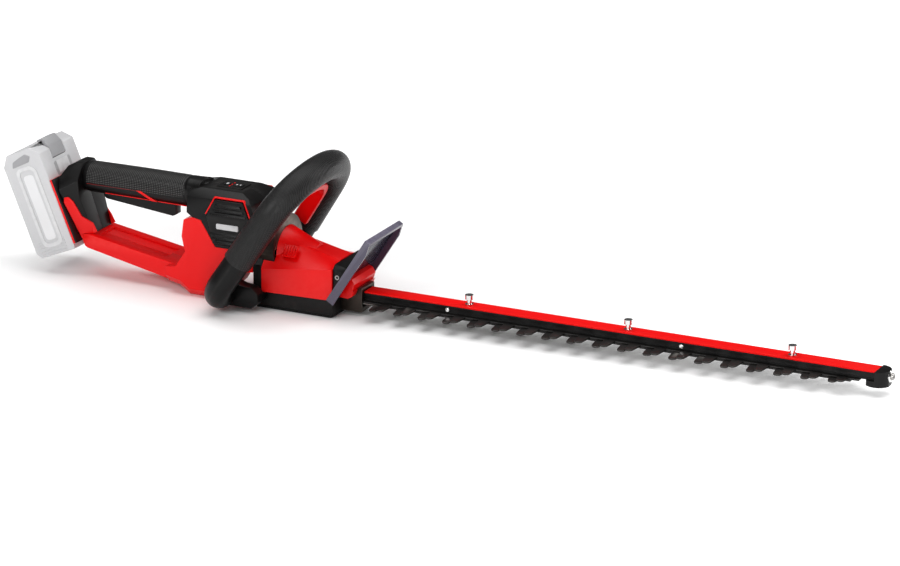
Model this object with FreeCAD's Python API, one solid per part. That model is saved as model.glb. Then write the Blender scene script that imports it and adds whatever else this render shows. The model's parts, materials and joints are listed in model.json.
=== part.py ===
import FreeCAD, Part
import math
import os

# Battery hedge trimmer.  +X runs forward along the blade, +Z is up and Y = 0 is the plane of symmetry.
# The origin is on the flat underside of the gear housing, below the crank axis.  Millimetres.

# blades and rail
tooth_pitch = 30.0
tooth_count = 19
first_tooth_x = 97.0
tooth_length = 19.5
tooth_root_half = 6.6
tooth_tip_half = 4.6
short_teeth = {16: 17.0, 17: 14.5, 18: 11.5}
spine_half = 13.0
blade_thickness = 1.9
lower_blade_z = 13.2
upper_blade_z = 15.3
blade_front_x = 655.0
stroke_radius = 7.5
rest_offset = 4.75
rail_half = 10.0
rail_bottom_z = 17.5
rail_top_z = 26.2
strip_top_z = 28.0
rail_rear_x = 47.0
rail_front_x = 677.0
stud_first_x = 197.0
stud_spacing = 191.0
stud_count = 3
stud_head_radius = 4.65
stud_neck_radius = 3.0
stud_height = 11.5
blade_bolt_x = (130.0, 300.0, 470.0, 630.0)
blade_bolt_radius = 3.0
rivet_x = (175.0, 455.0)
rivet_radius = 2.4
rivet_z = 21.9

# drive
gear_module = 1.0
crank_teeth = 36
pinion_teeth = 8
gear_low_z = 19.0
gear_high_z = 27.0
crank_shaft_radius = 4.0
eccentric_radius = 8.5
motor_x = -gear_module * (crank_teeth + pinion_teeth) / 2
motor_radius = 18.0
motor_shaft_radius = 2.5

# front unit
case_rear_x = -52.0
case_front_x = 46.0
case_half = 36.5
case_top_z = 20.0
cover_rear_x = -41.0
cover_front_x = 45.0
neck_radius = 29.0
neck_tip_radius = 13.0
neck_length = 40.0
neck_z = 59.0
slider_turn = 48.0
slider_place = (-19.0, -25.6, 66.4)
wall = 2.5
bracket_front_x = 72.0
bracket_half = 15.6
bracket_top_z = 32.0
bracket_bottom_z = 4.5

# handle swivel, about X
swivel_z = 66.0
swivel_ring_radius = 35.0
swivel_ring_front_x = -28.0
spigot_radius = 24.0
running_gap = 0.05

# hand guard
guard_lean = math.radians(33.0)
guard_base_x = 42.0
guard_base_z = 24.4
guard_half = 42.0
guard_height = 88.0
guard_sheet = 2.5

# front hoop
hoop_lean = math.radians(33.5)
hoop_base_x = -68.0
hoop_base_z = 36.0
hoop_leg_half = 85.0
hoop_leg_taper = 0.112
hoop_top = 148.0
hoop_corner_radius = 55.0
hoop_crown_radius = 110.0
hoop_foot_radius = 25.0
hoop_tube_radius = 15.0
hoop_grip_radius = 16.6
hoop_wall = 3.0

# rear unit
grip_z = 112.0
grip_half_height = 17.0
grip_half_width = 18.0
grip_rear_x = -287.0
grip_front_x = -131.0
hood_rear_x = -138.0
body_half = 38.0
bar_half = 26.0
dock_x = -299.0
dock_z = 78.0
dock_tilt = math.radians(22.5)
dock_half = 39.0
battery_half = 38.0
battery_thick = 54.0
battery_low = -46.0
battery_high = 80.0

up = FreeCAD.Vector(0, 0, 1)
forward = FreeCAD.Vector(1, 0, 0)
across = FreeCAD.Vector(0, 1, 0)


def vec(x, y, z):
    return FreeCAD.Vector(x, y, z)


def box(x0, x1, y0, y1, z0, z1):
    return Part.makeBox(x1 - x0, y1 - y0, z1 - z0, vec(x0, y0, z0))


def rod(radius, length, point, direction=up):
    return Part.makeCylinder(radius, length, point, direction)


def ring(outer, inner, length, point, direction=up):
    return rod(outer, length, point, direction).cut(rod(inner, length, point, direction))


def side_profile(points, y0, y1):
    """Solid with an outline of (x, z) points, between two places along Y."""
    corners = [vec(x, y0, z) for x, z in points]
    face = Part.Face(Part.makePolygon(corners + corners[:1]))
    return face.extrude(vec(0, y1 - y0, 0))


def cross_profile(points, x0, x1):
    """Solid with an outline of (y, z) points, between two places along X."""
    corners = [vec(x0, y, z) for y, z in points]
    face = Part.Face(Part.makePolygon(corners + corners[:1]))
    return face.extrude(vec(x1 - x0, 0, 0))


def cross_loft(sections):
    """Solid through outlines of (y, z) points, each given with its x."""
    wires = []
    for x, points in sections:
        corners = [vec(x, y, z) for y, z in points]
        wires.append(Part.makePolygon(corners + corners[:1]))
    return Part.makeLoft(wires, True, True)


def rounded(solid, radius, chosen):
    """The solid with a fillet on the edges that the test picks."""
    edges = [edge for edge in solid.Edges if chosen(edge)]
    return solid.makeFillet(radius, edges)


def both_sides(solid):
    """The solid and its mirror image across Y = 0, as one group."""
    return Part.makeCompound([solid, solid.mirror(vec(0, 0, 0), across)])


def fuse_all(solids):
    whole = solids[0].multiFuse(solids[1:])
    return whole.removeSplitter()


def tooth_edges(x, length, side):
    """One blade tooth, from its rear foot to its front foot, with a rounded end."""
    reach = spine_half + length
    shoulder = reach - tooth_tip_half
    rear_foot = vec(x - tooth_root_half, side * spine_half, 0)
    rear_tip = vec(x - tooth_tip_half, side * shoulder, 0)
    front_tip = vec(x + tooth_tip_half, side * shoulder, 0)
    front_foot = vec(x + tooth_root_half, side * spine_half, 0)
    end = Part.Arc(rear_tip, vec(x, side * reach, 0), front_tip).toShape()
    return [Part.makeLine(rear_foot, rear_tip), end, Part.makeLine(front_tip, front_foot)]


def blade(z, offset):
    """Toothed blade with its drive window at the crank and a slot at each blade bolt."""
    head_x = eccentric_radius + 2 * stroke_radius + 4.3
    head_y = eccentric_radius + stroke_radius + 5.5
    front = blade_front_x + offset
    sides = []
    for side in (-1, 1):
        edges = []
        last = vec(offset + head_x, side * spine_half, 0)
        for number in range(tooth_count):
            x = first_tooth_x + tooth_pitch * number + offset
            tooth = tooth_edges(x, short_teeth.get(number, tooth_length), side)
            edges.append(Part.makeLine(last, tooth[0].Vertexes[0].Point))
            edges.extend(tooth)
            last = vec(x + tooth_root_half, side * spine_half, 0)
        edges.append(Part.makeLine(last, vec(front, side * spine_half, 0)))
        sides.append(edges)
    near, far = sides
    nose = Part.makeLine(vec(front, -spine_half, 0), vec(front, spine_half, 0))
    heel = Part.makeLine(vec(offset + head_x, spine_half, 0), vec(offset + head_x, -spine_half, 0))
    wire = Part.Wire(Part.__sortEdges__(near + [nose] + far + [heel]))
    solid = Part.Face(wire).extrude(vec(0, 0, blade_thickness))
    solid.translate(vec(0, 0, z))
    head = box(offset - head_x, offset + head_x + 1, -head_y, head_y, z, z + blade_thickness)
    solid = fuse_all([solid, head])
    window_x = head_x - 4.0
    window_y = eccentric_radius + stroke_radius + 0.5
    cuts = [box(offset - window_x, offset + window_x, -window_y, window_y, z - 1, z + 3)]
    for x in blade_bolt_x:
        reach = stroke_radius + blade_bolt_radius + 0.3
        cuts.append(box(x + offset - reach, x + offset + reach, -3.3, 3.3, z - 1, z + 3))
    return solid.cut(Part.makeCompound(cuts))


def rail():
    body = box(rail_rear_x, rail_front_x, -rail_half, rail_half, rail_bottom_z, rail_top_z)
    body = body.cut(both_sides(box(rail_rear_x - 1, rail_front_x + 1, -rail_half - 1, -9.4, 20.0, 23.8)))
    holes = [rod(blade_bolt_radius + 0.1, 6, vec(x, 0, rail_bottom_z - 0.5)) for x in blade_bolt_x]
    for number in range(stud_count):
        x = stud_first_x + stud_spacing * number
        holes.append(rod(stud_neck_radius + 0.1, 6, vec(x, 0, rail_top_z - 5)))
    return body.cut(Part.makeCompound(holes))


def rail_strip():
    strip = box(bracket_front_x + 0.5, rail_front_x, -rail_half, rail_half, rail_top_z, strip_top_z)
    holes = []
    for number in range(stud_count):
        x = stud_first_x + stud_spacing * number
        holes.append(rod(stud_neck_radius + 0.1, 4, vec(x, 0, rail_top_z - 1)))
    return strip.cut(Part.makeCompound(holes))


def rail_studs():
    """Headed studs that a clip-on cuttings collector hooks under."""
    studs = []
    for number in range(stud_count):
        x = stud_first_x + stud_spacing * number
        neck = rod(stud_neck_radius, stud_height + 4.5, vec(x, 0, rail_top_z - 3.5))
        foot = rod(stud_head_radius, 1.2, vec(x, 0, strip_top_z))
        head = rod(stud_head_radius, 5.0, vec(x, 0, strip_top_z + stud_height - 5.0))
        studs.append(fuse_all([neck, foot, head]))
    return Part.makeCompound(studs)


def rail_rivets():
    """Faceted rivet heads on the rail's two sides: a base and a smaller crown each."""
    heads = []
    for x in rivet_x:
        for side in (-1, 1):
            stack = []
            for radius, out, height in ((rivet_radius, 0.0, 0.5), (rivet_radius * 0.7, 0.5, 0.35)):
                corners = []
                for number in range(13):
                    angle = math.radians(30.0 * number)
                    corners.append(vec(x + radius * math.cos(angle), side * (rail_half + 0.05 + out),
                                       rivet_z + radius * math.sin(angle)))
                stack.append(Part.Face(Part.makePolygon(corners)).extrude(vec(0, side * height, 0)))
            heads.append(fuse_all(stack))
    return Part.makeCompound(heads)


def blade_bolts():
    bolts = []
    for x in blade_bolt_x:
        shank = rod(blade_bolt_radius, 10.0, vec(x, 0, 12.0))
        head = rod(5.5, 2.6, vec(x, 0, 10.3))
        bolts.append(fuse_all([shank, head]))
    return Part.makeCompound(bolts)


def tip_guard():
    """Blunt nose that closes the rail's end and keeps the blade tips off a wall."""
    nose = rod(14.0, 17.0, vec(rail_front_x, 0, 11.0))
    keep = box(rail_front_x + 0.2, 700, -20, 20, 10, 30).fuse(box(666, 700, -20, 20, 10, rail_bottom_z - 0.1))
    nose = nose.common(keep)
    tail = box(667, rail_front_x + 2, -11, 11, 11.0, rail_bottom_z - 0.1)
    whole = fuse_all([nose, tail])
    whole = whole.cut(box(rail_front_x + 13.2, 700, -20, 20, 0, 40))
    return whole.cut(rod(2.3, 40, vec(rail_front_x - 1, 0, 21.5), forward))


def tip_washer():
    return ring(5.2, 2.3, 1.2, vec(rail_front_x + 13.25, 0, 21.5), forward)


def tip_screw():
    x = rail_front_x + 14.5
    head = rod(3.8, 2.8, vec(x, 0, 21.5), forward)
    shank = rod(2.2, 12.0, vec(x - 12.0, 0, 21.5), forward)
    return fuse_all([head, shank]).cut(rod(1.9, 2, vec(x + 1.4, 0, 21.5), forward))


def gear_outline(teeth, turn):
    """Straight-flanked gear outline that runs with play at the pitch circle."""
    pitch_radius = gear_module * teeth / 2
    inner = pitch_radius - 1.25 * gear_module
    outer = pitch_radius + 0.85 * gear_module
    step = 2 * math.pi / teeth
    points = []
    for number in range(teeth):
        middle = turn + step * number
        for radius, share in ((inner, -0.30), (outer, -0.11), (outer, 0.11), (inner, 0.30)):
            angle = middle + share * step
            points.append(vec(radius * math.cos(angle), radius * math.sin(angle), 0))
    return points


def gear(teeth, turn, x):
    points = gear_outline(teeth, turn)
    face = Part.Face(Part.makePolygon(points + points[:1]))
    solid = face.extrude(vec(0, 0, gear_high_z - gear_low_z))
    solid.translate(vec(x, 0, gear_low_z))
    return solid


def crank_gear():
    """Spur gear with an eccentric for each blade, half a turn apart, and its shaft."""
    across_y = math.sqrt(stroke_radius ** 2 - rest_offset ** 2)
    wheel = gear(crank_teeth, 0.0, 0.0)
    shaft = rod(crank_shaft_radius, 29.0, vec(0, 0, 5.0))
    upper = rod(eccentric_radius, 1.9, vec(rest_offset, across_y, upper_blade_z))
    lower = rod(eccentric_radius, 2.1, vec(-rest_offset, -across_y, lower_blade_z - 0.2))
    return fuse_all([wheel, shaft, upper, lower])


def drive_pinion():
    solid = gear(pinion_teeth, math.pi / pinion_teeth, motor_x)
    return solid.cut(rod(motor_shaft_radius, 40, vec(motor_x, 0, 0)))


def crank_bearings():
    low = ring(8.0, crank_shaft_radius + running_gap, 4.0, vec(0, 0, 5.2))
    high = ring(8.0, crank_shaft_radius + running_gap, 4.0, vec(0, 0, 29.2))
    return Part.makeCompound([low, high])


def gear_plate():
    plate = box(case_rear_x + 6, 42, -31, 31, 29.2, 33.2)
    plate = plate.cut(rod(8.02, 10, vec(0, 0, 27)))
    return plate.cut(rod(4.0, 10, vec(motor_x, 0, 27)))


def motor_stator():
    stator = ring(motor_radius, 12.0, 22.0, vec(motor_x, 0, 36.0))
    slots = []
    for number in range(12):
        slot = box(11, 14.5, -1.2, 1.2, 35, 59)
        slot.rotate(vec(0, 0, 0), up, 30.0 * number)
        slot.translate(vec(motor_x, 0, 0))
        slots.append(slot)
    return stator.cut(Part.makeCompound(slots))


def motor_rotor():
    return ring(11.5, motor_shaft_radius, 20.0, vec(motor_x, 0, 37.0))


def motor_shaft():
    return rod(motor_shaft_radius, 47.0, vec(motor_x, 0, 18.5))


def cooling_fan():
    parts = [ring(5.0, motor_shaft_radius, 4.0, vec(motor_x, 0, 60.0))]
    for number in range(9):
        vane = box(4.5, 15.0, -0.6, 0.6, 60.0, 64.0)
        vane.rotate(vec(0, 0, 0), up, 40.0 * number)
        vane.translate(vec(motor_x, 0, 0))
        parts.append(vane)
    return fuse_all(parts)


def gear_case():
    """Black gear housing: low walls, and a rear bulkhead round the swivel ring."""
    low = box(case_rear_x, case_front_x, -case_half, case_half, 4.0, case_top_z)
    low = low.cut(box(case_rear_x + 5, 41, -32, 32, 3, case_top_z + 1))
    low = low.cut(box(40, case_front_x + 1, -spine_half - 0.8, spine_half + 0.8, 12.0, case_top_z + 1))
    bulkhead = [(-38.5, case_top_z), (-38.5, 50), (-33, 58), (33, 58), (38.5, 50), (38.5, case_top_z)]
    rear = cross_profile(bulkhead, case_rear_x, cover_rear_x - 0.3)
    rear = rear.cut(box(case_rear_x + 5, 0, -32, 32, case_top_z - 1, 33.5))
    rear = rear.cut(rod(swivel_ring_radius + 0.1, 40, vec(case_rear_x - 1, 0, swivel_z), forward))
    return fuse_all([low, rear])


def bottom_cover():
    plate = box(case_rear_x + 1, case_front_x - 1, -case_half + 1, case_half - 1, 0.0, 3.9)
    plate = rounded(plate, 3.0, lambda edge: abs(edge.Vertexes[0].Z - edge.Vertexes[-1].Z) > 3)
    boss = ring(11.0, 8.02, 5.2, vec(0, 0, 3.9))
    return fuse_all([plate, boss])


def cover_section(grow, x):
    """Outline of the red front cover at one place, pulled in by a wall."""
    share = (x - cover_rear_x) / (cover_front_x - cover_rear_x)
    half = 40.0 - 4.5 * share - grow
    crease = 47.0 + 9.0 * share - grow / 2
    crest_half = 16.0 - 3.0 * share - grow / 2
    crest = 80.0 - 18.0 * share - grow
    low = case_top_z + 0.2 - grow
    return [(-half, low), (-half, crease), (-crest_half, crest), (crest_half, crest), (half, crease), (half, low)]


def front_cover():
    outer = cross_loft([(x, cover_section(0.0, x)) for x in (cover_rear_x, cover_front_x)])
    inner = cross_loft([(x, cover_section(wall, x)) for x in (cover_rear_x - 1, cover_front_x - wall)])
    shell = outer.cut(inner)
    swept = rod(swivel_ring_radius + 0.3, 60, vec(swivel_ring_front_x - 59.7, 0, swivel_z), forward)
    root = vec(swivel_ring_front_x + 0.3, 0, neck_z)
    neck = Part.makeCone(neck_radius, neck_tip_radius, neck_length, root, forward)
    hollow = Part.makeCone(neck_radius - 3, neck_tip_radius - 3, neck_length, root, forward)
    upper = box(-60, 60, -40, 40, 60.0, 100)
    neck = neck.common(upper).cut(inner)
    shell = fuse_all([shell, neck]).cut(hollow.common(upper))
    groove = box(-1, 23.5, -7.4, 7.4, -0.2, 12)
    groove.rotate(vec(0, 0, 0), forward, slider_turn)
    groove.translate(vec(*slider_place))
    return shell.cut(Part.makeCompound([swept, groove]))


def nose_cover():
    outline = [(cover_front_x + 0.3, 33.0), (cover_front_x + 0.3, 61.0), (57.5, 58.5), (60.5, 56.0)]
    block = side_profile(outline, -33.0, 33.0)
    top_corners = [edge for edge in block.Edges if abs(edge.CenterOfMass.y) > 32 and edge.CenterOfMass.z > 57]
    block = block.makeChamfer(5.0, top_corners)
    return block.cut(guard_screw_rods(3.6, 6.0))


def swivel_ring():
    """Bronze-grey ring of the front unit, which the rear unit turns on."""
    length = swivel_ring_front_x - case_rear_x
    sleeve = ring(swivel_ring_radius, 32.0, length, vec(case_rear_x, 0, swivel_z), forward)
    web = ring(32.5, spigot_radius + running_gap, 3.5, vec(case_rear_x, 0, swivel_z), forward)
    front = rod(32.5, 2.5, vec(swivel_ring_front_x - 2.5, 0, swivel_z), forward)
    front = front.cut(box(case_rear_x, 0, -40, 40, 0, swivel_z + 2))
    return fuse_all([sleeve, web, front]).cut(box(case_rear_x + 4, 0, -32, 32, 20, 42))


def lock_slider():
    """Ribbed slider that holds the rear unit at its set angle."""
    plate = box(0, 16, -7, 7, 0, 3.5)
    for number in range(5):
        x = 1.4 + 3.2 * number
        plate = plate.cut(box(x, x + 1.2, -8, 8, 2.4, 5))
    plate.rotate(vec(0, 0, 0), forward, slider_turn)
    plate.translate(vec(*slider_place))
    return plate


def lock_spring():
    spring = ring(2.4, 1.6, 14.0, vec(-1.0, -24.0, 50.0), forward)
    return spring


def blade_bracket():
    """Metal sleeve that carries the rail and blades out of the gear housing."""
    sleeve = box(cover_front_x + 1.5, bracket_front_x, -bracket_half, bracket_half, bracket_bottom_z, bracket_top_z)
    passage = box(0, 100, -spine_half - 0.6, spine_half + 0.6, 9.8, rail_bottom_z)
    seat = box(0, 100, -rail_half - 0.1, rail_half + 0.1, rail_bottom_z - 1, strip_top_z)
    return sleeve.cut(Part.makeCompound([passage, seat]))


def guard_point(along, out):
    """(x, z) of a point on the leaning hand guard: up its sheet and out of its front face."""
    x = guard_base_x + along * math.sin(guard_lean) + out * math.cos(guard_lean)
    z = guard_base_z + along * math.cos(guard_lean) - out * math.sin(guard_lean)
    return x, z


def hand_guard():
    """Leaning guard: a sheet with a deep side wall each side and a shallow one on top."""
    sheet = side_profile([guard_point(6.5, 0), guard_point(guard_height, 0),
                          guard_point(guard_height, guard_sheet), guard_point(6.5, guard_sheet)],
                         -guard_half, guard_half)
    wall_outline = [guard_point(-2, 0), guard_point(guard_height, 0),
                    guard_point(guard_height, 6), guard_point(guard_height - 14, 10), guard_point(-2, 10)]
    side = side_profile(wall_outline, -guard_half, -guard_half + 3)
    top = side_profile([guard_point(guard_height - 3, 0), guard_point(guard_height, 0),
                        guard_point(guard_height, 6), guard_point(guard_height - 3, 7)],
                       -guard_half, guard_half)
    mirrored = side.mirror(vec(0, 0, 0), across)
    whole = fuse_all([sheet, side, mirrored, top])
    return whole.cut(box(30, bracket_front_x, -17, 17, 0, bracket_top_z + 0.4))


def guard_holder():
    """Red saddle over the sleeve, which the guard is screwed to."""
    low = (bracket_bottom_z + 18 - guard_base_z) / math.cos(guard_lean)
    outline = [guard_point(low + 2.5, guard_sheet + 0.3), guard_point(29, guard_sheet + 0.3),
               guard_point(30, 8), guard_point(27, 14), guard_point(18, 16.5), (bracket_front_x - 4, 33.0),
               (bracket_front_x - 7, 25), (bracket_front_x - 12, 22)]
    block = side_profile(outline, -26, 26)
    sleeve = box(0, 100, -bracket_half - 0.1, bracket_half + 0.1, 0, bracket_top_z + 0.1)
    return block.cut(sleeve.fuse(box(0, cover_front_x + 0.3, -50, 50, 0, 60)))


def guard_screw_rods(radius, length):
    """A rod behind the guard's sheet on each side, at the places of its screws."""
    screws = []
    for side in (-1, 1):
        x, z = guard_point(22, -0.1 - length)
        direction = vec(math.cos(guard_lean), 0, -math.sin(guard_lean))
        screws.append(rod(radius, length, vec(x, side * 20.0, z), direction))
    return Part.makeCompound(screws)


def guard_screws():
    return guard_screw_rods(3.2, 2.1)


def hoop_point(y, height):
    """Place on the leaning plane of the front hoop."""
    x = hoop_base_x + height * math.sin(hoop_lean)
    z = hoop_base_z + height * math.cos(hoop_lean)
    return vec(x, y, z)


def hoop_corner(shrink):
    """Centre of a corner arc, which touches the straight leg and the crown arc."""
    lean_y = hoop_leg_taper
    lean_h = math.sqrt(1 - lean_y ** 2)
    corner = hoop_corner_radius - shrink
    crown_centre = hoop_top - hoop_crown_radius
    reach = hoop_crown_radius - hoop_corner_radius
    foot_y = hoop_leg_half - hoop_corner_radius * lean_h
    foot_h = -hoop_corner_radius * lean_y - crown_centre
    half_b = -foot_y * lean_y + foot_h * lean_h
    rest = foot_y ** 2 + foot_h ** 2 - reach ** 2
    along = -half_b + math.sqrt(half_b ** 2 - rest)
    centre_y = foot_y - along * lean_y
    centre_h = foot_h + crown_centre + along * lean_h
    return centre_y, centre_h, corner


def hoop_path(start, shrink=0.0, with_feet=True):
    """Wire along the hoop from one foot to the other, moved inward by a distance."""
    lean_y = hoop_leg_taper
    lean_h = math.sqrt(1 - lean_y ** 2)
    centre_y, centre_h, corner = hoop_corner(shrink)
    crown = hoop_crown_radius - shrink
    crown_centre = hoop_top - hoop_crown_radius
    leg_end = (centre_y + corner * lean_h, centre_h + corner * lean_y)
    leg_start = (hoop_leg_half - shrink * lean_h - start * lean_y, start * lean_h - shrink * lean_y)
    turn = math.atan2(centre_h - crown_centre, centre_y)
    join = (crown * math.cos(turn), crown_centre + crown * math.sin(turn))
    half_turn = (turn + math.asin(lean_y)) / 2
    middle = (centre_y + corner * math.cos(half_turn), centre_h + corner * math.sin(half_turn))
    foot = hoop_foot_radius - shrink
    foot_y = leg_start[0] - foot * lean_h
    foot_h = leg_start[1] - foot * lean_y
    foot_mid = (foot_y + foot * math.cos(math.radians(-42)), foot_h + foot * math.sin(math.radians(-42)))
    edges = []
    for side in (-1, 1):
        leg = Part.makeLine(hoop_point(side * leg_start[0], leg_start[1]), hoop_point(side * leg_end[0], leg_end[1]))
        bend = Part.Arc(hoop_point(side * leg_end[0], leg_end[1]), hoop_point(side * middle[0], middle[1]),
                        hoop_point(side * join[0], join[1])).toShape()
        edges.extend([leg, bend])
        if with_feet:
            edges.append(Part.Arc(hoop_point(side * foot_y, foot_h - foot),
                                  hoop_point(side * foot_mid[0], foot_mid[1]),
                                  hoop_point(side * leg_start[0], leg_start[1])).toShape())
    top = Part.Arc(hoop_point(-join[0], join[1]), hoop_point(0, crown_centre + crown),
                   hoop_point(join[0], join[1])).toShape()
    edges.append(top)
    return Part.Wire(Part.__sortEdges__(edges))


def path_start(path):
    """Where a path begins, and its direction there."""
    first = path.OrderedEdges[0]
    place = first.FirstParameter if first.Orientation == "Forward" else first.LastParameter
    return first.valueAt(place), first.tangentAt(place)


def hoop_sweep(path, outer, inner, half):
    """Half a tube swept along the path: the front half (1) or the rear half (-1)."""
    start, tangent = path_start(path)
    facing = vec(math.cos(hoop_lean), 0, -math.sin(hoop_lean)) * half
    beside = tangent.cross(facing)
    beside.normalize()
    points = []
    for radius in (outer, inner):
        points.append([start + beside * radius, start + facing * radius, start - beside * radius])
    arcs = [Part.Arc(*row).toShape() for row in points]
    ends = [Part.makeLine(points[0][0], points[1][0]), Part.makeLine(points[0][2], points[1][2])]
    section = Part.Wire(Part.__sortEdges__(arcs + ends))
    return path.makePipeShell([section], True, False)


def hoop_front_shell():
    return hoop_sweep(hoop_path(6.0), hoop_tube_radius, hoop_tube_radius - hoop_wall, 1)


def hoop_rear_shell():
    return hoop_sweep(hoop_path(6.0), hoop_tube_radius, hoop_tube_radius - hoop_wall, -1)


def hoop_grip_half(half):
    return hoop_sweep(hoop_path(36.0, 0.0, False), hoop_grip_radius, hoop_tube_radius + 0.1, half)


def hoop_foot(side):
    """Block that joins one end of the hoop to the gear housing."""
    y0 = case_half + 2.1
    y1 = 59.2
    outline = [(-93.0, 21.0), (-86.0, 9.0), (-72.0, 5.0), (-44.0, 5.0), (-36.0, 12.0), (-36.0, 22.0), (-44.0, 29.0),
               (-56.0, 30.0), (-70.0, 35.0), (-84.0, 32.0)]
    block = side_profile(outline, y0 + 5, y1)
    tongue = side_profile([(-51.0, 8.0), (-36.0, 12.0), (-36.0, 19.6), (-51.0, 19.6)], case_half + 0.1, y0 + 6)
    whole = fuse_all([block, tongue])
    if side < 0:
        whole = whole.mirror(vec(0, 0, 0), across)
    return whole


def hoop_feet():
    return Part.makeCompound([hoop_foot(-1), hoop_foot(1)])


def switch_bar():
    """Red bar inside the hoop that the front hand squeezes."""
    path = hoop_path(54.0, hoop_grip_radius + 9.5, False)
    return sweep_bar(path, 4.0, -9.0, 9.0)


def sweep_bar(path, half, low, high):
    """Flat bar swept along the hoop's plane: half its thickness in the plane, low to high across it."""
    start, tangent = path_start(path)
    facing = vec(math.cos(hoop_lean), 0, -math.sin(hoop_lean))
    beside = tangent.cross(facing)
    beside.normalize()
    corners = [start + beside * half + facing * low, start + beside * half + facing * high,
               start - beside * half + facing * high, start - beside * half + facing * low]
    section = Part.makePolygon(corners + corners[:1])
    return path.makePipeShell([section], True, False)


def dock_point(along, out):
    """(x, z) on the tilted battery dock: up its face and rearward out of it."""
    x = dock_x - along * math.sin(dock_tilt) - out * math.cos(dock_tilt)
    z = dock_z + along * math.cos(dock_tilt) - out * math.sin(dock_tilt)
    return x, z


def half_of(solid, side):
    if side > 0:
        return solid.common(box(-600, 200, 0.05, 100, -10, 250))
    return solid.common(box(-600, 200, -100, -0.05, -10, 250))


def frame_half(side):
    """Red frame: lower bar, the deep body under the vents, and the tail under the dock."""
    bar = [dock_point(-47, -5.3), (-273.0, 34.5), (-233.0, 26.0), (-160.0, 11.0), (-160.0, 31.5), (-268.0, 50.0),
           dock_point(-32.6, -5.3)]
    lower = side_profile(bar, -bar_half, bar_half)
    trough = side_profile([(-262.0, 46.0), (-176.0, 31.0), (-176.0, 40.0), (-262.0, 56.0)], -17.0, 17.0)
    lower = lower.cut(trough)
    body = [(-165.0, 12.0), (-150.0, 9.0), (-138.0, 0.0), (-104.0, 0.0), (-96.0, 8.0), (-82.0, 36.0),
            (-53.0, 40.0), (-53.0, 63.0), (-100.0, 63.0), (-118.0, 92.0), (-129.0, 94.0), (-140.0, 90.0),
            (-143.0, 70.0), (-139.0, 52.0), (-152.0, 33.0), (-165.0, 31.0)]
    mass = side_profile(body, -body_half, body_half)
    low_edges = [edge for edge in mass.Edges if abs(abs(edge.CenterOfMass.y) - body_half) < 0.1
                 and edge.CenterOfMass.z < 11.0]
    mass = mass.makeChamfer(9.0, low_edges)
    cavity = side_profile([(-132.0, 10.0), (-108.0, 10.0), (-92.0, 40.0), (-56.0, 44.0), (-56.0, 70.0),
                           (-106.0, 70.0), (-122.0, 84.0), (-132.0, 80.0)], -body_half + 6, body_half - 6)
    upper = side_profile([(-100.4, 63.0), (-52.0, 63.0), (-52.0, 140.0), (-124.0, 140.0), (-118.3, 92.0)], -40, 40)
    mass = mass.cut(Part.makeCompound([cavity, upper]))
    whole = fuse_all([mass, lower])
    return half_of(whole.cut(rod(28.3, 10, vec(-57.0, 0, swivel_z), forward)), side)


def upright_flank(way, low, high):
    """Upright slab along one tapering side of the upright, between two distances out from it."""
    outline = [vec(-330, way * (42 + low), 0), vec(-306, way * (38 + low), 0), vec(-268, way * (19.5 + low), 0),
               vec(-250, way * (19.5 + low), 0), vec(-250, way * (19.5 + high), 0),
               vec(-268, way * (19.5 + high), 0), vec(-306, way * (38 + high), 0), vec(-330, way * (42 + high), 0)]
    return Part.Face(Part.makePolygon(outline + outline[:1])).extrude(vec(0, 0, 200))


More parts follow.
